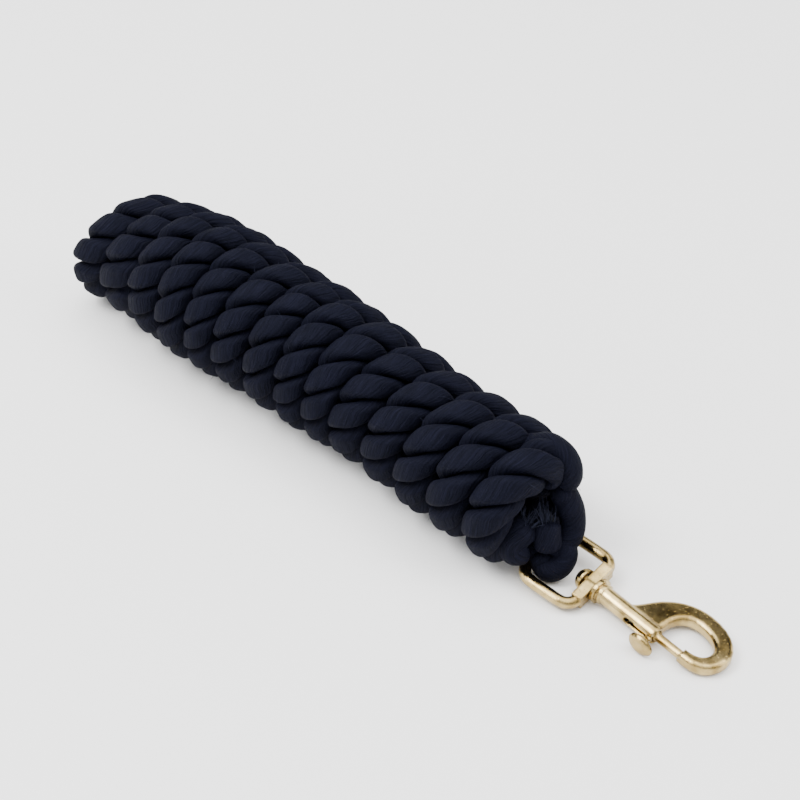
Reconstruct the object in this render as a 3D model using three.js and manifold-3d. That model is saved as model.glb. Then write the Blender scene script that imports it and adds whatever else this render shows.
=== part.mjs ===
// A horse's lead rope, wound up as a hank, with a swivel bolt snap on its eye.
// Millimetres, +Z up. The hank lies along X on the ground (z = 0) and the snap points along +X.
import * as THREE from 'three';
import { mergeVertices } from 'three/addons/utils/BufferGeometryUtils.js';
import Module from 'manifold-3d';

const wasm = await Module();
wasm.setup();

// ---- Driving dimensions ---------------------------------------------------------------------
const GAP = 0.3; // left between pieces that touch
const OVERSHOOT = 0.1; // how far a cutter runs past the face it opens

// The hank: fourteen turns of 20 mm rope wound over one straight run of the same rope.
const TURN_PITCH = 19.5; // the turns press together, so a little under the rope's diameter
const TURNS = 14;
const NEAR_RADIUS = 28.9; // outer radius at the snap's end
const FAR_RADIUS = 34.9; // outer radius at the far end, where the winding starts
const HANK_SIDES = 24;
const HANK_FRONT = 2.5; // the hank's front face, measured from the middle of the last turn
const HANK_EDGE = { reach: 9, middle: 0.3 }; // rounding of both ends, and its halfway point as a part

// The rope's eye: a soft loop round the D's bar, flattened under it. A side view in XZ about
// the bar, given its width along the bar.
const EYE_LOOP = {
  front: 13,
  top: 16,
  bottom: 6,
  back: 7.6,
  under: 5.85, // how far forward the flat underside runs
  over: 2.6, // how far forward the flat top runs
  hole: 3.2,
  width: 15,
};

// The cut ends of two of the rope's strands, left standing out of the eye's splice.
const STRAND_RADIUS = 4.8;
const STRAND_ENDS = {
  splice_end_left: [[8.5, -24, 7], [11.5, -25, 12.5], [12, -24.5, 18], [9.5, -23, 23.5]],
  splice_end_middle: [[7.5, -2.5, 31], [12, -3, 32.5], [15.5, -3.6, 32], [19, -4.2, 30]],
};

// The swivel eye: a 24 mm D of 5.2 mm wire with a flat bridge that the swivel pin goes through.
const EYE_BAR = { x: 10.8, y: -3.2, z: 7.4 }; // middle of the D's straight bar: the hinge point
const EYE_TURN = { roll: 8, drop: 2.5, yaw: 1.5 }; // degrees, as the D lies
const WIRE_RADIUS = 2.6;
const WIRE_INTO_BRIDGE = 3; // the wire's ends run this far into the bridge
const D_HALF_WIDTH = 14.7; // bar's middle to the middle of each limb
const D_CORNER = 6.5; // corner radius at the bar
const D_FOOT = 5.5; // corner radius at the bridge
const BRIDGE_X = 27; // bar to the middle of the bridge
const BRIDGE = { thick: 4.8, wide: 21, tall: 6.4 };
const PIN_HOLE_RADIUS = 2.8;

// The snap, along its own axis, measured from the middle of the bridge.
const SNAP_TURN = { roll: 0, drop: 2.5, yaw: -4 }; // the swivel's play lets it lie askew to the D
const PIN_RADIUS = 2.3;
const PIN_END = 7;
const PIN_HEAD = { back: -7.7, rim: -4.1, face: -3.3, radius: 4.8 };
const FLANGE = { start: 3.4, end: 5.1, radius: 5.5 };
const BEAD = { start: 6.1, end: 7.4, radius: 4.5 };
const BARREL_RADIUS = 3.9;
const MOUTH = { x: 35.5, chamfer: 0.8, step: 0.6 }; // the barrel's front end
const BORE = { start: 8.6, radius: 2.8 };
const SLOT = { start: 20.5, width: 3.6, beyond: 1, reach: 5.9 };

// The hook, cast in one with the barrel: a flat outline of bends, each two handles and an end.
const HOOK = { thickness: 5.6, rounding: 1.7 };
const TIP_X = 47.8; // face of the hook's tip, where the bolt closes the hook
const TIP_INSIDE = 2.5;
const TIP_OUTSIDE = -2.4;
const THROAT_X = 35; // where the throat comes down on the barrel
const HOOK_ROOT = [[12, -2], [17.5, 2.8]];
const HOOK_OUTSIDE = [
  [20.8, 4.7, 21.5, 9, 25.3, 14.2],
  [30.3, 20.7, 37, 23.6, 44, 23.6],
  [54.5, 23.6, 63.2, 17.5, 63.2, 9.5],
  [63.2, 2.5, 58.4, -2.3, 52, TIP_OUTSIDE],
];
const HOOK_THROAT = [
  [53.5, 2.3, 56.2, 4.5, 56.2, 8],
  [56.2, 12.5, 50.5, 15.7, 44, 15.7],
  [37.8, 15.7, 34.7, 11.5, THROAT_X, 3.6],
];
const SOCKET = { depth: 1.2, radius: 2.25, before: 1 }; // in the tip, for the bolt's nose

// The bolt: a rod with a guide collar, cross-drilled for the thumb stud, and its spring.
const BOLT_RADIUS = 1.9;
const BOLT_FRONT = 48.6; // the bolt's nose stands in the tip's socket
const BOLT_NOSE = 0.6; // chamfer
const BOLT_COLLAR = { start: 24.5, end: 36, radius: 2.4, chamfer: 0.5, step: 0.4 };
const SPRING = { start: 9, end: 24, radius: 1.9, wire: 0.35, turns: 6 };

// The thumb stud, [distance from the bolt's axis, radius]: a stem out of the slot, a broad head.
const STUD_X = 33.9;
const STUD_SHANK = 1.1;
const STUD_SEAT = { hole: 0.3, foot: 0.4, deep: 5 };
const STUD_STEM = [[2.8, STUD_SHANK], [2.9, 1.5], [4.6, 1.5], [5.8, 2.2], [6.8, 2.4], [7.8, 2.4]];
const STUD_HEAD = [[6.8, 2.2], [7, 3.5], [7.6, 4.4], [8.5, 4.5], [9.4, 3.8], [9.8, 2.4]];
const STUD_HEAD_MIDDLE = 9.6; // the head's dished top, at its middle
const STUD_HEAD_WIDE = 1.3; // the head is oval: this much wider across the slot

// Facets
const ROUND_SIDES = 20;
const BARREL_SIDES = 24;
const STEM_SIDES = 16;
const DRILL_SIDES = 12;
const CORNER_STEPS = 4;
const DOME_STEPS = 5;
const WIRE_FACETS = { sides: 6, steps: 64 };
const STRAND_FACETS = { sides: 6, steps: 8 };
const SPRING_FACETS = { sides: 3, perTurn: 9, pointsPerTurn: 8 };
const HOOK_STEPS = 7;
const EYE_STEPS = 8;
const BEVEL_STEPS = 3;

// Colours
const NAVY = { color: 0x1c2233, roughness: 0.85, metalness: 0 };
const BRASS = { color: 0xc9a868, roughness: 0.22, metalness: 1 };
const STEEL = { color: 0x9c9c98, roughness: 0.35, metalness: 1 };

// ---- Helpers --------------------------------------------------------------------------------
const radians = THREE.MathUtils.degToRad;
const vector = (x, y, z) => new THREE.Vector3(x, y, z);

function toManifold(geometry) {
  const bare = geometry.clone();
  bare.deleteAttribute('normal');
  bare.deleteAttribute('uv');
  const merged = mergeVertices(bare);
  const vertProperties = new Float32Array(merged.attributes.position.array);
  const triVerts = new Uint32Array(merged.index.array);
  return new wasm.Manifold(new wasm.Mesh({ numProp: 3, vertProperties, triVerts }));
}

function toGeometry(manifold) {
  const mesh = manifold.getMesh();
  const geometry = new THREE.BufferGeometry();
  geometry.setAttribute('position', new THREE.BufferAttribute(mesh.vertProperties, 3));
  geometry.setIndex(new THREE.BufferAttribute(mesh.triVerts, 1));
  geometry.computeVertexNormals();
  return geometry;
}

// A profile of [distance along X, radius] pairs, turned about the X axis.
function turned(profile, sides) {
  const points = profile.map(([x, r]) => new THREE.Vector2(r, x));
  const geometry = new THREE.LatheGeometry(points, sides);
  geometry.rotateZ(-Math.PI / 2);
  return geometry;
}

// A straight round bar along X.
function bar(start, end, radius, sides = ROUND_SIDES) {
  return turned([[start, 0], [start, radius], [end, radius], [end, 0]], sides);
}

// A round tube along a smooth curve through the given points.
function tube(points, radius, { sides, steps }) {
  const section = new THREE.Shape();
  section.absarc(0, 0, radius, 0, 2 * Math.PI);
  const extrudePath = new THREE.CatmullRomCurve3(points, false, 'centripetal');
  return new THREE.ExtrudeGeometry(section, { steps, extrudePath, curveSegments: sides });
}

// A flat outline in XY, thickened along Z about z = 0.
function plate(shape, thickness, rounding, curveSegments) {
  const geometry = new THREE.ExtrudeGeometry(shape, {
    depth: thickness - 2 * rounding,
    bevelEnabled: rounding > 0,
    bevelThickness: rounding,
    bevelSize: rounding,
    bevelOffset: -rounding,
    bevelSegments: BEVEL_STEPS,
    curveSegments,
  });
  geometry.translate(0, 0, rounding - thickness / 2);
  return geometry;
}

function piece(name, geometry, finish) {
  const mesh = new THREE.Mesh(geometry, new THREE.MeshStandardMaterial(finish));
  mesh.name = name;
  return mesh;
}

// ---- Rope -----------------------------------------------------------------------------------
// Outer shape of the wound turns and the run inside them: a slightly tapered round bar with
// rounded ends, one flat side down, lying level on that side.
function ropeHank() {
  const back = HANK_FRONT - TURNS * TURN_PITCH;
  const { reach } = HANK_EDGE;
  const corner = reach * HANK_EDGE.middle;
  const profile = [
    [back, 0],
    [back, FAR_RADIUS - reach],
    [back + corner, FAR_RADIUS - corner],
    [back + reach, FAR_RADIUS],
    [HANK_FRONT - reach, NEAR_RADIUS],
    [HANK_FRONT - corner, NEAR_RADIUS - corner],
    [HANK_FRONT, NEAR_RADIUS - reach],
    [HANK_FRONT, 0],
  ];
  const geometry = turned(profile, HANK_SIDES);
  const flat = Math.cos(Math.PI / HANK_SIDES); // middle of a side, as a part of the radius
  const taper = Math.atan2((FAR_RADIUS - NEAR_RADIUS) * flat, TURNS * TURN_PITCH - 2 * reach);
  geometry.rotateX(Math.PI / HANK_SIDES);
  geometry.rotateY(taper);
  geometry.computeBoundingBox();
  geometry.translate(0, 0, -geometry.boundingBox.min.z);
  return geometry;
}

function ropeEye() {
  const { front, top, bottom, back, under, over, hole, width } = EYE_LOOP;
  const outline = new THREE.Shape();
  outline.moveTo(-back, -bottom);
  outline.lineTo(under, -bottom);
  outline.quadraticCurveTo(front, -bottom, front, 0);
  outline.quadraticCurveTo(front, top, over, top);
  outline.lineTo(-back, top);
  outline.lineTo(-back, -bottom);
  const opening = new THREE.Path();
  opening.absarc(0, 0, hole, 0, 2 * Math.PI);
  outline.holes.push(opening);
  const geometry = plate(outline, width, 0, EYE_STEPS);
  geometry.rotateX(Math.PI / 2);
  return geometry;
}

function strandEnd(points) {
  return tube(points.map((p) => vector(...p)), STRAND_RADIUS, STRAND_FACETS);
}

// ---- Swivel eye -----------------------------------------------------------------------------
function swivelEye() {
  const route = [];
  const arc = (cx, cy, radius, from, to) => {
    for (let i = 0; i <= CORNER_STEPS; i += 1) {
      const a = radians(from + ((to - from) * i) / CORNER_STEPS);
      route.push(vector(cx + radius * Math.cos(a), cy + radius * Math.sin(a), 0));
    }
  };
  const side = D_HALF_WIDTH;
  const wireEnd = BRIDGE.wide / 2 - WIRE_INTO_BRIDGE;
  route.push(vector(BRIDGE_X, -wireEnd, 0));
  arc(BRIDGE_X - D_FOOT, -side + D_FOOT, D_FOOT, 0, -90);
  arc(D_CORNER, -side + D_CORNER, D_CORNER, -90, -180);
  arc(D_CORNER, side - D_CORNER, D_CORNER, 180, 90);
  arc(BRIDGE_X - D_FOOT, side - D_FOOT, D_FOOT, 90, 0);
  route.push(vector(BRIDGE_X, wireEnd, 0));
  const wire = toManifold(tube(route, WIRE_RADIUS, WIRE_FACETS));
  const block = new THREE.BoxGeometry(BRIDGE.thick, BRIDGE.wide, BRIDGE.tall);
  block.translate(BRIDGE_X, 0, 0);
  const hole = bar(BRIDGE_X - BRIDGE.thick, BRIDGE_X + BRIDGE.thick, PIN_HOLE_RADIUS);
  return toGeometry(wire.add(toManifold(block)).subtract(toManifold(hole)));
}

// ---- Snap, along X from the middle of the bridge -----------------------------------------------
function swivelPin() {
  const { back, rim, face, radius } = PIN_HEAD;
  const end = PIN_END - GAP;
  const profile = [[back, 0]];
  for (let i = 1; i <= DOME_STEPS; i += 1) {
    const a = (i / DOME_STEPS) * (Math.PI / 2);
    profile.push([rim - (rim - back) * Math.cos(a), radius * Math.sin(a)]);
  }
  profile.push([face, radius], [face, PIN_RADIUS], [end, PIN_RADIUS], [end, 0]);
  return turned(profile, ROUND_SIDES);
}

function hookOutline() {
  const shape = new THREE.Shape();
  shape.moveTo(...HOOK_ROOT[0]);
  shape.lineTo(...HOOK_ROOT[1]);
  HOOK_OUTSIDE.forEach((bend) => shape.bezierCurveTo(...bend));
  shape.lineTo(TIP_X, TIP_OUTSIDE);
  shape.lineTo(TIP_X, TIP_INSIDE);
  HOOK_THROAT.forEach((bend) => shape.bezierCurveTo(...bend));
  shape.lineTo(THROAT_X, HOOK_ROOT[0][1]);
  return shape;
}

function snapBody() {
  const rear = FLANGE.start;
  const profile = [
    [PIN_END, 0],
    [PIN_END, PIN_RADIUS + GAP],
    [rear, PIN_RADIUS + GAP],
    [rear, FLANGE.radius],
    [FLANGE.end, FLANGE.radius],
    [FLANGE.end, BARREL_RADIUS],
    [BEAD.start, BARREL_RADIUS],
    [BEAD.start, BEAD.radius],
    [BEAD.end, BEAD.radius],
    [BEAD.end, BARREL_RADIUS],
    [MOUTH.x - MOUTH.chamfer, BARREL_RADIUS],
    [MOUTH.x, BARREL_RADIUS - MOUTH.step],
    [MOUTH.x, 0],
  ];
  const barrel = toManifold(turned(profile, BARREL_SIDES));
  const hook = toManifold(plate(hookOutline(), HOOK.thickness, HOOK.rounding, HOOK_STEPS));
  const bore = toManifold(bar(BORE.start, MOUTH.x + OVERSHOOT, BORE.radius));
  const socket = toManifold(bar(TIP_X - SOCKET.before, TIP_X + SOCKET.depth, SOCKET.radius));
  const half = SLOT.width / 2;
  const slotShape = new THREE.Shape();
  slotShape.moveTo(MOUTH.x + SLOT.beyond, -half);
  slotShape.lineTo(MOUTH.x + SLOT.beyond, half);
  slotShape.absarc(SLOT.start + half, 0, half, Math.PI / 2, (3 * Math.PI) / 2);
  const cutter = plate(slotShape, SLOT.reach, 0, HOOK_STEPS);
  cutter.rotateX(Math.PI / 2);
  cutter.translate(0, -SLOT.reach / 2, 0);
  const cast = barrel.add(hook).subtract(bore).subtract(socket).subtract(toManifold(cutter));
  return toGeometry(cast);
}

function bolt() {
  const { start, end, radius, chamfer, step } = BOLT_COLLAR;
  const profile = [
    [start, 0],
    [start, radius - step],
    [start + chamfer, radius],
    [end - chamfer, radius],
    [end, BOLT_RADIUS],
    [BOLT_FRONT - BOLT_NOSE, BOLT_RADIUS],
    [BOLT_FRONT, BOLT_RADIUS - BOLT_NOSE],
    [BOLT_FRONT, 0],
  ];
  const drill = bar(0, STUD_SEAT.deep, STUD_SHANK + GAP, DRILL_SIDES);
  drill.rotateZ(-Math.PI / 2);
  drill.translate(STUD_X, STUD_SEAT.hole, 0);
  return toGeometry(toManifold(turned(profile, ROUND_SIDES)).subtract(toManifold(drill)));
}

// Turned about its own stem, then stood across the bolt.
function thumbStud() {
  const { foot } = STUD_SEAT;
  const stemTop = STUD_STEM.at(-1)[0];
  const stem = turned([[foot, 0], [foot, STUD_SHANK], ...STUD_STEM, [stemTop, 0]], STEM_SIDES);
  const head = turned([[STUD_HEAD[0][0], 0], ...STUD_HEAD, [STUD_HEAD_MIDDLE, 0]], ROUND_SIDES);
  head.scale(1, STUD_HEAD_WIDE, 1);
  const stud = toGeometry(toManifold(stem).add(toManifold(head)));
  stud.rotateZ(-Math.PI / 2);
  stud.translate(STUD_X, 0, 0);
  return stud;
}

function boltSpring() {
  const { start, end, radius, wire, turns } = SPRING;
  const points = [];
  const { sides, perTurn, pointsPerTurn } = SPRING_FACETS;
  const count = turns * pointsPerTurn;
  for (let i = 0; i <= count; i += 1) {
    const a = (i / count) * turns * 2 * Math.PI;
    const x = start + wire + ((end - start - 2 * wire) * i) / count;
    points.push(vector(x, radius * Math.cos(a), radius * Math.sin(a)));
  }
  return tube(points, wire, { sides, steps: turns * perTurn });
}

// ---- Assembly -------------------------------------------------------------------------------
const hankFrame = new THREE.Group();
hankFrame.add(piece('rope_hank', ropeHank(), NAVY));
for (const [name, points] of Object.entries(STRAND_ENDS)) {
  hankFrame.add(piece(name, strandEnd(points), NAVY));
}

function turnedGroup(position, { roll, drop, yaw }) {
  const group = new THREE.Group();
  group.position.copy(position);
  group.rotation.set(radians(roll), radians(drop), radians(yaw), 'ZYX');
  group.updateMatrix();
  return group;
}

const barMiddle = vector(EYE_BAR.x, EYE_BAR.y, EYE_BAR.z);
const softFrame = turnedGroup(barMiddle, { ...EYE_TURN, drop: 0 });
softFrame.add(piece('rope_eye', ropeEye(), NAVY));

const eyeFrame = turnedGroup(barMiddle, EYE_TURN);
eyeFrame.add(piece('swivel_eye', swivelEye(), BRASS));

const bridgeMiddle = vector(BRIDGE_X, 0, 0).applyMatrix4(eyeFrame.matrix);
const snapFrame = turnedGroup(bridgeMiddle, SNAP_TURN);
snapFrame.add(piece('swivel_pin', swivelPin(), BRASS));
snapFrame.add(piece('snap_body', snapBody(), BRASS));
snapFrame.add(piece('bolt', bolt(), BRASS));
snapFrame.add(piece('thumb_stud', thumbStud(), BRASS));
snapFrame.add(piece('bolt_spring', boltSpring(), STEEL));
hankFrame.add(softFrame, eyeFrame, snapFrame);

// Stand the whole object on the ground with the middle of its box over the origin.
const leadRope = new THREE.Group();
leadRope.add(hankFrame);
leadRope.updateMatrixWorld(true);
const box = new THREE.Box3().setFromObject(leadRope, true);
hankFrame.position.set(-(box.min.x + box.max.x) / 2, -(box.min.y + box.max.y) / 2, -box.min.z);

export default leadRope;
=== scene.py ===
# A horse's lead rope wound up as a hank, with a brass swivel bolt snap on its eye.
# Metres, +Z up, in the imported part's frame. Lengths in the tables below are in millimetres.
import math

import bpy
import numpy as np
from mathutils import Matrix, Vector


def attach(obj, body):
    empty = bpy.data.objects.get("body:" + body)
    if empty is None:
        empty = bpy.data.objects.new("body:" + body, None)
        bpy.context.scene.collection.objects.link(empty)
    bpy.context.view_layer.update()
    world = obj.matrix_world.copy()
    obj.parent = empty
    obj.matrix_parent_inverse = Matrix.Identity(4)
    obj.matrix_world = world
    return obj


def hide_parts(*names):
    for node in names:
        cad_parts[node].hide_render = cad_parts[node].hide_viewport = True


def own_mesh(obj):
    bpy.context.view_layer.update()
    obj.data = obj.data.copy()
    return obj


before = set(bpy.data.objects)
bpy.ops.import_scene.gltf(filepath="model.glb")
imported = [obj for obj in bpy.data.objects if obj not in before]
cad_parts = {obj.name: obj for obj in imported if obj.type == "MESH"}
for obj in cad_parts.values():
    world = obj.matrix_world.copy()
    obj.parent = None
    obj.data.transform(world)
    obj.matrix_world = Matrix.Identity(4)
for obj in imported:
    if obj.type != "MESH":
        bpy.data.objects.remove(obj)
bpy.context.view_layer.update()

MM = 0.001
TAU = 2 * math.pi

# ---- Camera ---------------------------------------------------------------------------------
TARGET = Vector((-0.0221, 0.0318, 0.0))
AZIMUTH, ELEVATION, DISTANCE = math.radians(44.8), math.radians(39.5), 0.7547
LENS, SENSOR, NEAREST = 72, 36, 0.02


def look_from(azimuth, elevation, distance):
    """Where a camera stands to see the target from there, and the way it looks."""
    forward = Vector((
        -math.sin(azimuth) * math.cos(elevation),
        math.cos(azimuth) * math.cos(elevation),
        -math.sin(elevation),
    ))
    return TARGET - forward * distance, forward


def aim(obj, forward):
    """Turns a camera or a light to look forward."""
    obj.rotation_euler = forward.to_track_quat("-Z", "Y").to_euler()


camera_data = bpy.data.cameras.new("camera")
camera_data.lens = LENS
camera_data.sensor_width = SENSOR
camera_data.clip_start = NEAREST
camera = bpy.data.objects.new("camera", camera_data)
bpy.context.scene.collection.objects.link(camera)
camera.location, view_forward = look_from(AZIMUTH, ELEVATION, DISTANCE)
aim(camera, view_forward)
bpy.context.scene.camera = camera

# ---- The rope's route (mm, x measured from the middle of the last turn) ----------------------
SHIFT = 84.782  # from the middle of the last turn to the part's own origin
PITCH = 19.5
TURNS = 14
DIAMETER = 20.0
# Outer radius and sideways bow of the hank at the middle of each turn, nearest turn first.
RADII = [30.4, 30.8, 30.6, 30.2, 30.4, 31.6, 33.0, 33.4, 33.9, 34.8, 35.4, 34.6, 32.6, 30.2, 28.2]
BOW = [-3.6, -3.8, -2.8, -1.6, 0.2, -0.2, -1.1, -1.4, -1.2, -2.6, -3.3, -2.4, -2.4, -3.2, -4.4]
# How far each turn lies off its place along the hank, in pitches, on the left side and on top.
DRIFT_LEFT = [-0.08, -0.1, -0.14, -0.2, -0.36, -0.14, 0.02,
              0.03, -0.05, 0.05, 0.06, 0.02, -0.34, -0.68]
DRIFT_TOP = [-0.02, -0.03, -0.02, -0.1, -0.18, -0.26, -0.22,
             -0.16, -0.17, -0.22, -0.15, -0.08, 0.03, -0.1]
# Where the winding starts, and where its last turn dives inside, in degrees from the hank's left.
FIRST_ANGLE, LAST_ANGLE = -75.0, 360.0 * (TURNS - 1) + 104.0
ANGLE_STEP = 2.0
STEP = 1.0  # between the rings along the rope
CURVE_STEPS = 14  # between two given points of a curve
# The straight run inside the turns, its fold into the farthest turn, and the last turn's dive.
CORE = [[-8, -2, 27], [-30, 1, 29], [-60, 1, 30], [-120, -1, 31.5], [-180, 0, 33], [-238, -4, 29.5]]
FOLD = [[-252, -4, 29], [-264, -1, 26.5], [-271, 3, 19], [-272, 1, 11.5]]
TUCK = [[5.4, 9, 43.5], [1, 12.5, 37], [-5, 10, 31], [-9, 6, 27]]
rng = np.random.default_rng(7)


def hank_radius(x):
    """Outer radius of the hank at x."""
    return np.interp(-x, PITCH * np.arange(len(RADII)), RADII)


def hank_bow(x):
    """Where the hank's middle lies in y at x."""
    return np.interp(-x, PITCH * np.arange(len(BOW)), BOW)


def wobble(t, amount, period, seed):
    """A slow, seeded waver."""
    r = np.random.default_rng(seed)
    total = np.zeros_like(t)
    for octave in (1.0, 1.7, 2.9):
        total += np.sin(TAU * t / period * octave + r.uniform(0, 6.28)) / octave
    return amount * total / 1.6


def turn_point(angle):
    """Middle of the rope at a winding angle in degrees; 0 is the left side of the farthest turn."""
    place = angle / 360.0 - (TURNS - 1)
    stations = np.sort(np.concatenate([-np.arange(TURNS), 0.25 - np.arange(TURNS)]))
    drift = np.stack([DRIFT_LEFT[::-1], DRIFT_TOP[::-1]], axis=1).reshape(-1)
    x = PITCH * (place + np.interp(place, stations, drift))
    big = hank_radius(x)
    r = big - DIAMETER / 2 + wobble(angle, 0.3, 560.0, 3)
    a = np.radians(angle)
    return np.stack([x, hank_bow(x) - r * np.cos(a), big + r * np.sin(a)], axis=-1)


def smooth(points):
    """A Catmull-Rom curve through the points."""
    p = np.array(points, float)
    p = np.vstack([2 * p[0] - p[1], p, 2 * p[-1] - p[-2]])
    out = []
    for i in range(1, len(p) - 2):
        t = np.linspace(0, 1, CURVE_STEPS, endpoint=False)[:, None]
        a, b, c, d = p[i - 1], p[i], p[i + 1], p[i + 2]
        out.append(0.5 * (2 * b + (c - a) * t + (2 * a - 5 * b + 4 * c - d) * t ** 2
                          + (3 * b - a - 3 * c + d) * t ** 3))
    out.append(p[-2][None])
    return np.vstack(out)


def measured(line, step):
    """Points at even steps along a line, with their places, and the places of the line's own."""
    along = np.concatenate([[0], np.cumsum(np.linalg.norm(np.diff(line, axis=0), axis=1))])
    at = np.linspace(0, along[-1], int(along[-1] / step) + 1)
    return np.stack([np.interp(at, along, line[:, k]) for k in range(3)], axis=1), at, along


def route():
    """The rope's middle line, with the winding angle at each point (nan off the winding)."""
    turned = np.arange(FIRST_ANGLE, LAST_ANGLE, ANGLE_STEP)
    winding = turn_point(turned)
    head = smooth(np.vstack([CORE, FOLD, winding[:2]]))[:-CURVE_STEPS - 1]
    tail = smooth(np.vstack([winding[-2:], TUCK]))[CURVE_STEPS + 1:]
    line = np.vstack([head, winding, tail])
    angle = np.concatenate([np.full(len(head), np.nan), turned, np.full(len(tail), np.nan)])
    points, at, along = measured(line, STEP)
    known = ~np.isnan(angle)
    angles = np.interp(at, along[known], angle[known], left=np.nan, right=np.nan)
    return points, at, angles


def unit(v):
    """The vectors at length one."""
    return v / np.maximum(np.linalg.norm(v, axis=-1, keepdims=True), 1e-12)


def frames(points):
    """Tangents and a frame that doesn't twist along the line."""
    tangent = unit(np.gradient(points, axis=0))
    normal = np.zeros_like(points)
    start = np.cross(tangent[0], [0, 1.0, 0])
    normal[0] = start / np.linalg.norm(start)
    for i in range(1, len(points)):
        n = normal[i - 1] - np.dot(normal[i - 1], tangent[i]) * tangent[i]
        normal[i] = n / np.linalg.norm(n)
    return tangent, normal, np.cross(tangent, normal)


# ---- Strands --------------------------------------------------------------------------------
LAY = 36.0  # one full twist of the rope where it runs straight
STRAND_MIDDLE, STRAND_RADIUS, STRAND_HALF_WIDTH = 5.2, 5.0, 6.1
STRAND_WAVER = 0.05  # how much of its size a strand's thickness and place waver by
FLANK_SOFTNESS = 0.7  # how roundly a strand meets the next strand
SPREAD, MOST_SPREAD = 1.04, 1.4  # the wound rope flattens along the hank, more where it has room
SIDE_REACH, SIDE_SOFTNESS = 0.5, 1.5  # how far and how roundly a turn presses on the next turn
OVERLAP = 0.1  # so that turns side by side leave no slit
WOUND_FADE = 25.0  # length over which the rope changes from wound to straight
YARN_TURN = 1.5  # how much the yarns turn back inside their strand, so that they lie along the rope
LAG = 0.38  # strands cross the outside of a turn faster than the inside
LOWEST, PRESS_SOFTNESS = 0.15, 0.25  # how the rope rests on the ground
SIDES = 24  # points in a ring
# The strand bump nearest to the hank's upper left on each turn, in degrees, nearest turn first, and
# how many bumps lie from each turn's to the next.
BUMP_ANGLES = [42.0, 51.5, 47.0, 42.5, 51.0, 37.0, 30.0, 49.5, 33.5, 29.0, 42.0, 27.5, 45.5, 24.0]
TURN_BUMPS = [10, 10, 11, 11, 11, 12, 13, 12, 13, 13, 13, 13, 11]


def soft_limit(value, limit, softness):
    """value, eased so that it stays under limit."""
    over = value - limit
    return limit - softness * np.logaddexp(0, -over / softness)


class Tube:
    """Rings of points gathered into one mesh, with a map along and round each tube."""

    def __init__(self):
        self.verts, self.faces, self.uvs, self.count = [], [], [], 0

    def add(self, rings, along, turn):
        """rings is (length, round, 3), along the place in mm, turn the yarn's angle in turns."""
        n, m = rings.shape[:2]
        index = self.count + np.arange(n * m).reshape(n, m)
        beside = np.roll(index, -1, axis=1)
        quads = np.stack([index[:-1], beside[:-1], beside[1:], index[1:]], axis=-1)
        self.faces.append(quads.reshape(-1, 4))
        v0, v1 = turn, np.roll(turn, -1, axis=1)
        v1[:, -1] += 1.0
        u = np.repeat(along[:, None], m, axis=1)
        uv = np.stack([np.stack([u[:-1], v0[:-1]], -1), np.stack([u[:-1], v1[:-1]], -1),
                       np.stack([u[1:], v1[1:]], -1), np.stack([u[1:], v0[1:]], -1)], axis=2)
        self.uvs.append(uv.reshape(-1, 2))
        self.verts.append(rings.reshape(-1, 3))
        self.count += n * m
        self.close(rings[0], beside[0], index[0], along[0], v1[0], v0[0])
        self.close(rings[-1], index[-1], beside[-1], along[-1], v0[-1], v1[-1])

    def close(self, ring, first, second, place, first_turn, second_turn):
        """Closes one end with a fan of triangles round the ring's middle."""
        self.verts.append(ring.mean(axis=0)[None])
        self.faces.append(np.stack([first, second, np.full(len(ring), self.count)], axis=-1))
        self.count += 1
        u = np.full(len(ring), place)
        middle_turn = (first_turn + second_turn) / 2
        self.uvs.append(np.stack([np.stack([u, v], -1) for v in (first_turn, second_turn, middle_turn)],
                                 axis=1).reshape(-1, 2))

    def build(self, name, material):
        """Makes the object, in metres in the part's own frame."""
        verts = np.vstack(self.verts) * MM + np.array([SHIFT * MM, 0, 0])
        mesh = bpy.data.meshes.new(name)
        loops = np.concatenate([f.reshape(-1) for f in self.faces])
        sizes = np.concatenate([np.full(len(f), f.shape[1]) for f in self.faces])
        starts = np.concatenate([[0], np.cumsum(sizes)[:-1]])
        mesh.vertices.add(len(verts))
        mesh.vertices.foreach_set("co", verts.astype(np.float32).reshape(-1))
        mesh.loops.add(len(loops))
        mesh.loops.foreach_set("vertex_index", loops.astype(np.int32))
        mesh.polygons.add(len(sizes))
        mesh.polygons.foreach_set("loop_start", starts.astype(np.int32))
        mesh.polygons.foreach_set("loop_total", sizes.astype(np.int32))
        layer = mesh.uv_layers.new(name="yarn")
        layer.data.foreach_set("uv", np.vstack(self.uvs).astype(np.float32).reshape(-1))
        mesh.update(calc_edges=True)
        mesh.validate()
        mesh.polygons.foreach_set("use_smooth", np.ones(len(sizes), bool))
        mesh.materials.append(material)
        obj = bpy.data.objects.new(name, mesh)
        bpy.context.scene.collection.objects.link(obj)
        return obj


def bump_turns(angle):
    """The rope's twist at a winding angle, as a count of strand bumps."""
    turn = np.arange(TURNS)[::-1]
    at = 360.0 * (TURNS - 1 - turn) + np.array(BUMP_ANGLES)[::-1]
    count = np.concatenate([[0], np.cumsum(TURN_BUMPS[::-1])])
    at = np.concatenate([[at[0] - 360], at, [at[-1] + 360]])
    count = np.concatenate([[-TURN_BUMPS[-1]], count, [count[-1] + TURN_BUMPS[0]]])
    return np.interp(angle, at, count)


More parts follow.
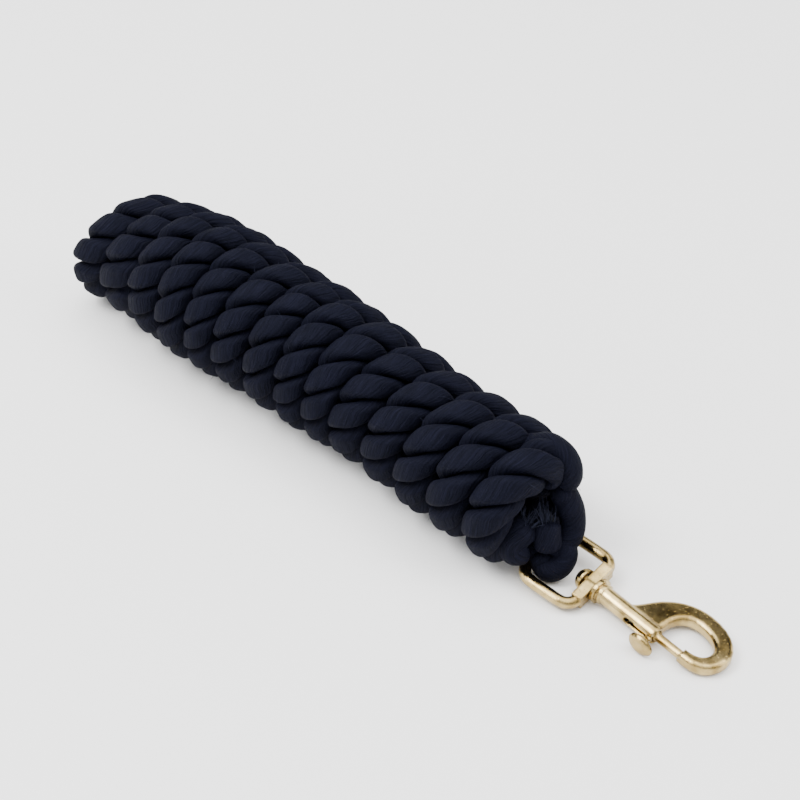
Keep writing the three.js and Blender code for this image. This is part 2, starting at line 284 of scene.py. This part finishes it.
def rope_frames(points, along, angles):
    """Outward and sideways directions along the rope, its twist, how wound it is, and its room."""
    tangent, normal, binormal = frames(points)
    known = ~np.isnan(angles)
    first, last = np.flatnonzero(known)[[0, -1]]
    axis = points.copy()
    axis[:, 1] = hank_bow(points[:, 0])
    axis[:, 2] = hank_radius(points[:, 0])
    outward = points - axis
    lean = np.arctan2((outward * binormal).sum(1), (outward * normal).sum(1))
    lean[:first], lean[last + 1:] = lean[first], lean[last]
    out = np.cos(lean)[:, None] * normal + np.sin(lean)[:, None] * binormal
    twist = np.zeros(len(points))
    twist[known] = bump_turns(angles[known]) / 3
    twist[:first] = twist[first] + (along[:first] - along[first]) / LAY
    twist[last + 1:] = twist[last] + (along[last + 1:] - along[last]) / LAY
    edge = np.minimum(np.abs(along - along[first]), np.abs(along - along[last]))
    wound = np.where(known, 1.0, np.clip(1 - edge / WOUND_FADE, 0, 1))
    room = np.full((2, len(points)), DIAMETER / 2)
    for side, step in ((0, -360.0), (1, 360.0)):
        there = angles[known] + step
        inside = (there > FIRST_ANGLE) & (there < LAST_ANGLE)
        gap = np.abs(turn_point(there)[:, 0] - turn_point(angles[known])[:, 0]) / 2
        room[side, known] = np.where(inside, gap + OVERLAP, DIAMETER / 2)
    return out, np.cross(tangent, out), twist * TAU, wound, room


def rings_round(line, first_offset, first_dir, second_offset, second_dir):
    """Rings of points round a line, from offsets along two directions across it."""
    return line[:, None] + first_offset[..., None] * first_dir[:, None] + \
        second_offset[..., None] * second_dir[:, None]


def round_angles(sides):
    """The angles of a ring's points."""
    return np.linspace(0, TAU, sides, endpoint=False)[None, :]


def rope_rings(points, along, shape, strand):
    """One strand of the rope: rings of points across the rope's own line."""
    out_dir, side_dir, twist, wound, room = shape
    third = TAU / 3
    # The strand before this one, this one and the next one, as they cross the turn.
    plain = twist + third * (strand + np.arange(-1, 2))[:, None]
    before, psi, after = (t + LAG * wound * np.sin(t) for t in plain)
    chi = round_angles(SIDES)
    seed = 20 + strand
    radius = STRAND_RADIUS * (1 + wobble(along, STRAND_WAVER, 61.0, seed))[:, None]
    middle = STRAND_MIDDLE * (1 + wobble(along, STRAND_WAVER, 83.0, seed + 5))[:, None]
    out = middle + radius * np.cos(chi)
    # Each flank stays in the strand's own wedge of the rope.
    half = np.where(np.sin(chi) < 0, (psi - before)[:, None], (after - psi)[:, None]) / 2
    side = radius * STRAND_HALF_WIDTH / STRAND_RADIUS * np.sin(chi) * half / (third / 2)
    wedge = np.maximum(out, 0.0) * np.tan(half) + 0.03
    side = np.sign(side) * soft_limit(np.abs(side), np.maximum(wedge, 0.05), FLANK_SOFTNESS)
    out = np.maximum(out, 0.15)
    cos, sin = np.cos(psi)[:, None], np.sin(psi)[:, None]
    n_off, b_off = out * cos - side * sin, out * sin + side * cos
    # The rope spreads sideways as far as the turns beside it let it.
    limit = np.where(b_off < 0, room[0][:, None], room[1][:, None])
    spread = np.clip(limit / (DIAMETER / 2), SPREAD, MOST_SPREAD)
    b_off = b_off * (1 + (spread - 1) * wound[:, None])
    b_off = np.sign(b_off) * np.maximum(
        soft_limit(np.abs(b_off), limit + SIDE_REACH, SIDE_SOFTNESS), 0)
    rings = rings_round(points, n_off, out_dir, b_off, side_dir)
    return rings, chi / TAU + (psi * YARN_TURN / TAU)[:, None]


def rest_on_floor(p):
    """Presses points flat on the ground."""
    p = p.copy()
    p[..., 2] = LOWEST + PRESS_SOFTNESS * np.logaddexp(0, (p[..., 2] - LOWEST) / PRESS_SOFTNESS)
    return p


# ---- Materials ------------------------------------------------------------------------------
def material(name):
    """A new material, its nodes and its shader."""
    m = bpy.data.materials.new(name)
    m.use_nodes = True
    tree = m.node_tree
    return m, tree, tree.nodes["Principled BSDF"]


def node(tree, kind, **values):
    """A node with its input sockets or its settings filled in by name."""
    n = tree.nodes.new(kind)
    for key, value in values.items():
        if key in n.inputs:
            n.inputs[key].default_value = value
        else:
            setattr(n, key, value)
    return n


def maths(tree, operation, *values):
    """A maths node's result, from numbers and other nodes' results."""
    n = node(tree, "ShaderNodeMath", operation=operation)
    for socket, value in zip(n.inputs, values):
        if isinstance(value, (int, float)):
            socket.default_value = value
        else:
            tree.links.new(value, socket)
    return n.outputs[0]


def two_colours(tree, shader, mask, low, dark, high, light):
    """Colours the shader dark where the mask is low and light where it is high."""
    ramp = node(tree, "ShaderNodeValToRGB")
    for stop, place, colour in zip(ramp.color_ramp.elements, (low, high), (dark, light)):
        stop.position = place
        stop.color = (*colour, 1)
    tree.links.new(mask, ramp.inputs[0])
    tree.links.new(ramp.outputs[0], shader.inputs["Base Color"])


def mapped(tree, value, **ends):
    """A value mapped from one range to another."""
    n = node(tree, "ShaderNodeMapRange", **ends)
    tree.links.new(value, n.inputs[0])
    return n.outputs[0]


def bumped(tree, height, strength, distance, normal=None):
    """The normal, with the height's bumps on it."""
    n = node(tree, "ShaderNodeBump", Strength=strength, Distance=distance)
    tree.links.new(height, n.inputs["Height"])
    if normal is not None:
        tree.links.new(normal, n.inputs["Normal"])
    return n.outputs[0]


def fibre_material(name, dark, light):
    """Soft spun yarns: streaks along the strand, from the map along and round each tube."""
    m, tree, shader = material(name)
    link = tree.links.new
    uv = node(tree, "ShaderNodeUVMap", uv_map="yarn")
    split = node(tree, "ShaderNodeSeparateXYZ")
    link(uv.outputs[0], split.inputs[0])
    angle = maths(tree, "MULTIPLY", split.outputs["Y"], TAU)

    def streaks(round_scale, along_scale, detail, start):
        place = node(tree, "ShaderNodeCombineXYZ")
        link(maths(tree, "MULTIPLY", maths(tree, "COSINE", angle), round_scale), place.inputs[0])
        link(maths(tree, "MULTIPLY", maths(tree, "SINE", angle), round_scale), place.inputs[1])
        link(maths(tree, "MULTIPLY_ADD", split.outputs["X"], along_scale, start), place.inputs[2])
        n = node(tree, "ShaderNodeTexNoise", Scale=1.0, Detail=detail, Roughness=0.55)
        link(place.outputs[0], n.inputs["Vector"])
        return n.outputs["Fac"]

    yarns = streaks(5.2, 0.035, 1.0, 3.0)
    fibres = streaks(17.0, 0.16, 3.0, 11.0)
    relief = maths(tree, "MULTIPLY_ADD", yarns, 1.6, fibres)
    link(bumped(tree, relief, 0.55, 0.0011), shader.inputs["Normal"])
    two_colours(tree, shader, fibres, 0.36, dark, 0.72, light)
    link(mapped(tree, fibres, **{"To Min": 0.8, "To Max": 0.6}), shader.inputs["Roughness"])
    shader.inputs["Specular IOR Level"].default_value = 0.05
    return m


rope_fibre = fibre_material("navy_fibre", (0.0018, 0.0022, 0.0055), (0.006, 0.0065, 0.0152))
# The loose fibres are the navy fibre made lighter: painted highlight for the light that the thin cut
# fibres catch.
loose_fibre = fibre_material("navy_loose_fibre_painted_highlight", (0.014, 0.016, 0.028), (0.04, 0.045, 0.075))

# ---- The hank -------------------------------------------------------------------------------
points, along, angles = route()
shape = rope_frames(points, along, angles)
hank = Tube()
surfaces = []
for strand in range(3):
    rings, yarn = rope_rings(points, along, shape, strand)
    hank.add(rest_on_floor(rings), along, yarn)
    surfaces.append(rings)
rope_hank = hank.build("rope", rope_fibre)
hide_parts("rope_hank")
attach(rope_hank, "hank")

# ---- The eye's strands ----------------------------------------------------------------------
# Each strand: its middle line, its radius, the length that its ends round off in, and the length
# in which its yarns turn once.
EYE_STRANDS = {
    "curl": ([(-10.1, 4.1, 48), (-2.6, 5.1, 52), (2.8, 7.3, 54), (8.7, 8.6, 52.5), (12.2, 9, 48),
              (13.3, 8.5, 43), (11, 8, 38)], 5.3, 4.5, 30.0),
    "limb": ([(10.2, 3.9, 38), (12.3, 6.9, 34), (15.4, 7.4, 29), (17.8, 7.1, 23.5), (19, 5.6, 18.5),
              (18.6, 2.6, 14.5), (17.2, -1.1, 11.5), (15.1, -4.3, 10)], 5.6, 4.5, 24.0),
    "turn": ([(15.7, 0.4, 14), (20.1, 0.4, 12.5), (21.7, -1.2, 9.5), (21.4, -4.4, 7), (19, -7.9, 6),
              (15.6, -7.7, 7.5), (13.5, -7, 12)], 5.3, 4.5, 24.0),
    "stub": ([(16.3, -6.1, 15), (15.7, -6, 18.5), (14.7, -5.3, 22.5), (13.1, -3.7, 26)],
             5.9, 1.8, 60.0),
    "lump": ([(8.7, -9.6, 27), (7.2, -12.5, 23.5), (5.8, -15.6, 19.5), (6.4, -16.6, 15.5),
              (9, -14.5, 13.5), (9.8, -12.2, 13)], 6.6, 5.0, 200.0),
    "inner": ([(-10, 0, 14), (-2, 3, 17), (4, 3, 15), (8, 1, 12), (11, -2, 8)], 6.0, 4.5, 40.0),
    "under": ([(0, -10, 13), (4.1, -8.5, 10.5), (8.3, -7.6, 9.5), (11.8, -5.4, 9), (14, -3, 9)],
              4.6, 3.0, 40.0),
    "back": ([(-7, 15, 38), (-5, 18, 28), (-4, 17, 17), (2, 12, 9), (9, 6, 8)], 6.5, 4.5, 40.0),
    "behind": ([(-1, 15, 38), (1, 18, 28), (2, 17, 19), (0, 13, 12)], 6.5, 4.5, 40.0),
}
# Cut yarns standing out of a strand's end: root, direction, root's width, spread, count, length.
TUFTS = [
    ((12.9, -3.8, 26.5), (-0.35, 0.25, 1.0), 4.8, 0.5, 40, 8.5),
    ((9, -10.4, 27), (0.2, 0.5, 1.0), 4.6, 0.6, 38, 7.0),
    ((11.5, 8.2, 38.5), (0.5, 0.1, -1.0), 4.2, 0.7, 26, 5.5),
]
CUT_FIBRE, STRAY_FIBRE = 0.24, 0.07  # radii
ROOT_DEPTH = 2.0
STRAY_FIBRES = 260
EYE_STEP = 0.6  # between the rings along the eye's strands


def strand_rings(route_points, radius, blunt, lay, seed):
    """One of the eye's strands, round and with rounded ends."""
    line, at, _ = measured(smooth(route_points), EYE_STEP)
    tangent, normal, binormal = frames(line)
    chi = round_angles(SIDES)
    near_end = np.clip(1 - np.minimum(at, at[-1] - at) / blunt, 0, 1)
    r = radius * (1 + wobble(at, STRAND_WAVER, 33.0, seed)) * np.sqrt(1 - near_end ** 2 * 0.85)
    rings = rings_round(line, r[:, None] * np.cos(chi), normal, r[:, None] * np.sin(chi), binormal)
    return rings, at, chi / TAU + (-at / lay)[:, None]


def add_hair(tube, root, direction, length, bend, radius):
    """One loose fibre: a thin tapering tube with a bend in it."""
    t = np.linspace(0, 1, 6)[:, None]
    line = root + direction * length * t + bend * t ** 2
    tangent, normal, binormal = frames(line)
    chi = round_angles(4)
    r = radius * (1 - 0.7 * t)
    rings = rings_round(line, r * np.cos(chi), normal, r * np.sin(chi), binormal)
    tube.add(rest_on_floor(rings), t[:, 0] * length, chi / TAU + 0 * t)


def add_tuft(tube, root, direction, width, spread, count, length):
    """A brush of cut fibres, rooted a little below the strand's surface."""
    root, direction = np.array(root, float), np.array(direction, float)
    direction = direction / np.linalg.norm(direction)
    for _ in range(count):
        off = rng.normal(0, 0.4 * width, 3)
        off -= direction * (off @ direction)
        turned = direction + off / width * spread + rng.normal(0, 0.16, 3)
        turned /= np.linalg.norm(turned)
        reach = length * rng.uniform(0.4, 1.0)
        add_hair(tube, root + off - direction * ROOT_DEPTH, turned, reach + ROOT_DEPTH,
                 rng.normal(0, 0.22 * reach, 3), CUT_FIBRE)


eye = Tube()
for number, strand in enumerate(EYE_STRANDS.values()):
    rings, at, yarn = strand_rings(*strand, 40 + number)
    eye.add(rest_on_floor(rings), at + 100 * number, yarn)
rope_eye = eye.build("eye", rope_fibre)
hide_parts("rope_eye", "splice_end_left", "splice_end_middle")
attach(rope_eye, "hank")

loose = Tube()
for tuft in TUFTS:
    add_tuft(loose, *tuft)
strands = np.concatenate(surfaces)
for _ in range(STRAY_FIBRES):
    ring = strands[rng.integers(len(strands))]
    corner = rng.integers(len(ring))
    outward = ring[corner] - ring.mean(axis=0)
    away = outward / np.linalg.norm(outward) + rng.normal(0, 0.9, 3)
    reach = rng.uniform(1.5, 4.0)
    add_hair(loose, ring[corner], away / np.linalg.norm(away), reach,
             rng.normal(0, 0.4 * reach, 3), STRAY_FIBRE)
loose_fibres = loose.build("loose_fibres", loose_fibre)
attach(loose_fibres, "hank")


# ---- Metal ----------------------------------------------------------------------------------
def metal_material(name, dark, light, smoothest, roughest):
    """Polished cast metal: soft waves and rounded edges, fine pits, uneven tarnish."""
    m, tree, shader = material(name)
    link = tree.links.new
    place = node(tree, "ShaderNodeTexCoord").outputs["Object"]

    def noise(scale, detail, roughness):
        n = node(tree, "ShaderNodeTexNoise", Scale=scale, Detail=detail, Roughness=roughness)
        link(place, n.inputs["Vector"])
        return n.outputs["Fac"]

    two_colours(tree, shader, noise(90.0, 4.0, 0.6), 0.35, dark, 0.68, light)
    link(mapped(tree, noise(520.0, 4.0, 0.6), **{"To Min": smoothest, "To Max": roughest}),
         shader.inputs["Roughness"])
    edges = node(tree, "ShaderNodeBevel", Radius=0.0014).outputs[0]
    waves = bumped(tree, noise(85.0, 1.0, 0.4), 1.0, 0.0002, edges)
    cells = node(tree, "ShaderNodeTexVoronoi", Scale=620.0)
    link(place, cells.inputs["Vector"])
    pits = mapped(tree, cells.outputs["Distance"], **{"From Min": 0.04, "From Max": 0.2})
    link(bumped(tree, pits, 0.14, 0.0002, waves), shader.inputs["Normal"])
    shader.inputs["Metallic"].default_value = 1.0
    return m


brass = metal_material("pale_brass", (0.27, 0.185, 0.062), (0.6, 0.455, 0.205), 0.05, 0.17)
steel = metal_material("spring_steel", (0.32, 0.31, 0.3), (0.5, 0.49, 0.47), 0.2, 0.4)
for name in ("swivel_eye", "swivel_pin", "snap_body", "bolt", "thumb_stud"):
    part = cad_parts[name]
    part.data.materials.clear()
    part.data.materials.append(brass)

# The bolt's spring inside the barrel: the bolt's travel presses it almost solid.
SNAP_ORIGIN = np.array([122.547, -2.494, 6.222])
SNAP_AXIS = np.array([0.99661, -0.06969, -0.04362])
SPRING_START, SPRING_END, SPRING_RADIUS, SPRING_WIRE, SPRING_TURNS = 9.0, 24.0, 1.9, 0.35, 6
wound_part = np.linspace(0, 1, SPRING_TURNS * SIDES + 1)[:, None]
angle = wound_part * SPRING_TURNS * TAU
across = unit(np.cross([0.0, 0.0, 1.0], SNAP_AXIS))
upward = np.cross(SNAP_AXIS, across)
reach = SPRING_START + SPRING_WIRE + (SPRING_END - SPRING_START - 2 * SPRING_WIRE) * wound_part
coil = SNAP_ORIGIN - np.array([SHIFT, 0, 0]) + reach * SNAP_AXIS + SPRING_RADIUS * (
    np.cos(angle) * across + np.sin(angle) * upward)
tangent, normal, binormal = frames(coil)
chi = round_angles(10) + 0 * angle
rings = rings_round(coil, SPRING_WIRE * np.cos(chi), normal, SPRING_WIRE * np.sin(chi), binormal)
wire = Tube()
wire.add(rings, reach[:, 0], chi / TAU)
spring = wire.build("spring", steel)
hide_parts("bolt_spring")
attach(spring, "snap")
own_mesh(spring)

# ---- Floor and light ------------------------------------------------------------------------
floor_material, floor_tree, floor_shader = material("pale_floor")
floor_shader.inputs["Base Color"].default_value = (0.95, 0.95, 0.95, 1)
floor_shader.inputs["Roughness"].default_value = 0.7
FAR = 40.0
floor_mesh = bpy.data.meshes.new("floor")
floor_mesh.from_pydata([(-FAR, -FAR, 0), (FAR, -FAR, 0), (FAR, FAR, 0), (-FAR, FAR, 0)], [],
                       [(0, 1, 2, 3)])
floor_mesh.materials.append(floor_material)
floor = bpy.data.objects.new("floor", floor_mesh)
bpy.context.scene.collection.objects.link(floor)

# Brightness of the studio by height, from level with the floor (0) to overhead (1). The dark band
# gives the polished metal something to reflect.
STUDIO = ((0.08, 0.05), (0.2, 0.7), (0.32, 0.8), (0.42, 0.08), (0.5, 0.025), (0.76, 0.025),
          (0.84, 1.0))
world = bpy.data.worlds.new("studio")
world.use_nodes = True
sky = world.node_tree
direction = node(sky, "ShaderNodeTexCoord")
height = node(sky, "ShaderNodeSeparateXYZ")
sky.links.new(direction.outputs["Generated"], height.inputs[0])
shade = node(sky, "ShaderNodeValToRGB")
stops = shade.color_ramp.elements
for place, level in STUDIO:
    stops.new(place).color = (level, level, level, 1)
stops[0].color = (0.1, 0.1, 0.1, 1)
stops[-1].color = (1, 1, 1, 1)
sky.links.new(height.outputs["Z"], shade.inputs[0])
sky.links.new(shade.outputs[0], sky.nodes["Background"].inputs["Color"])
sky.nodes["Background"].inputs["Strength"].default_value = 4.6
bpy.context.scene.world = world


def soft_light(name, place, power, size):
    """A square lamp that looks at the hank."""
    data = bpy.data.lights.new(name, "AREA")
    data.energy = power
    data.size = size
    obj = bpy.data.objects.new(name, data)
    bpy.context.scene.collection.objects.link(obj)
    obj.location = place
    aim(obj, (Vector((0, 0, 0.02)) - obj.location).normalized())


soft_light("key", (-0.5, -0.7, 1.3), 27.0, 0.7)
soft_light("fill", (1.1, 0.6, 1.0), 12.0, 0.8)
